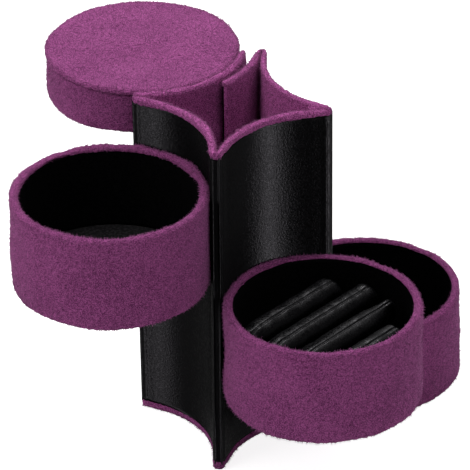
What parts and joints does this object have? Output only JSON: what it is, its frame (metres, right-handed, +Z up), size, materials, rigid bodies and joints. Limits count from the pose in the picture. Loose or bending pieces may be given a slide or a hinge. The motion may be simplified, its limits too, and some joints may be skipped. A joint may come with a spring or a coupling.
{
  "type": "roll-up jewellery case",
  "caption": "Cylindrical suede jewellery case with stacked round tubs and a lid on curved panels that fold out on fabric hinges; a ring cushion fills one tub.",
  "frame": {"origin": "on the floor under the middle of the opened case's outline", "axes": "+Z up along the folds; seen from above with the case open, the bottom tub is towards +X +Y, the middle tub towards +X -Y, the upper tub towards -X -Y and the lid towards -X +Y"},
  "size_m": [0.2075, 0.206, 0.1756],
  "materials": {
    "purple_suede": "short-napped faux suede, matt, slightly mottled",
    "black_satin": "black satin with a soft vertical sheen",
    "grey_board": "greyboard, matt",
    "black_flock": "black flocked card, matt",
    "keeper_steel": "plain steel disc",
    "magnet_nickel": "nickel-plated disc magnet"
  },
  "bodies": {
    "bottom_tier": {"bottom_panel_board": "grey_board", "bottom_panel_suede": "purple_suede", "bottom_panel_lining": "black_satin", "bottom_tub_suede": "purple_suede", "bottom_tub_wall": "grey_board", "bottom_tub_base": "grey_board", "bottom_tub_underside": "purple_suede", "bottom_tub_floor": "black_flock", "bottom_tub_lining": "black_satin", "flap_fold_strip": "purple_suede"},
    "middle_tier": {"middle_panel_board": "grey_board", "middle_panel_suede": "purple_suede", "middle_panel_lining": "black_satin", "middle_tub_suede": "purple_suede", "middle_tub_wall": "grey_board", "middle_tub_base": "grey_board", "middle_tub_underside": "purple_suede", "middle_tub_floor": "black_flock", "middle_tub_lining": "black_satin", "ring_bed": "black_satin", "ring_roll_1": "black_satin", "ring_roll_2": "black_satin", "ring_roll_3": "black_satin", "ring_roll_4": "black_satin", "lower_fold_strip": "purple_suede"},
    "upper_tier": {"upper_panel_board": "grey_board", "upper_panel_suede": "purple_suede", "upper_panel_lining": "black_satin", "upper_tub_suede": "purple_suede", "upper_tub_wall": "grey_board", "upper_tub_base": "grey_board", "upper_tub_underside": "purple_suede", "upper_tub_floor": "black_flock", "upper_tub_lining": "black_satin", "upper_fold_strip": "purple_suede"},
    "lid_tier": {"lid_panel_board": "grey_board", "lid_panel_suede": "purple_suede", "lid_panel_lining": "black_satin", "lid_side_suede": "purple_suede", "lid_wall": "grey_board", "lid_top_board": "grey_board", "lid_ceiling": "black_satin", "lid_lining": "black_satin", "lid_top_cover": "purple_suede", "lid_keeper_1": "keeper_steel", "lid_keeper_2": "keeper_steel", "lid_fold_strip": "purple_suede"},
    "closure_flap": {"flap_board": "grey_board", "flap_suede": "purple_suede", "flap_lining": "black_satin", "flap_magnet_1": "magnet_nickel", "flap_magnet_2": "magnet_nickel"}
  },
  "joints": [
    {"name": "lower_fold", "type": "hinge", "parent": "bottom_tier", "child": "middle_tier", "pos_m": [0.05002, 0.00391, 0], "axis": [0, 0, 1], "range_deg": [0, 168.3]},
    {"name": "upper_fold", "type": "hinge", "parent": "middle_tier", "child": "upper_tier", "pos_m": [0.00466, -0.05111, 0], "axis": [0, 0, 1], "range_deg": [0, 179.1]},
    {"name": "lid_fold", "type": "hinge", "parent": "upper_tier", "child": "lid_tier", "pos_m": [-0.04885, -0.00377, 0], "axis": [0, 0, 1], "range_deg": [0, 173.8]},
    {"name": "flap_fold", "type": "hinge", "parent": "bottom_tier", "child": "closure_flap", "pos_m": [0.00036, 0.05554, 0], "axis": [0, 0, -1], "range_deg": [0, 187]}
  ],
  "couplings": [
    {"joint": "flap_fold", "follows": "lid_fold", "ratio": 1.0759}
  ]
}
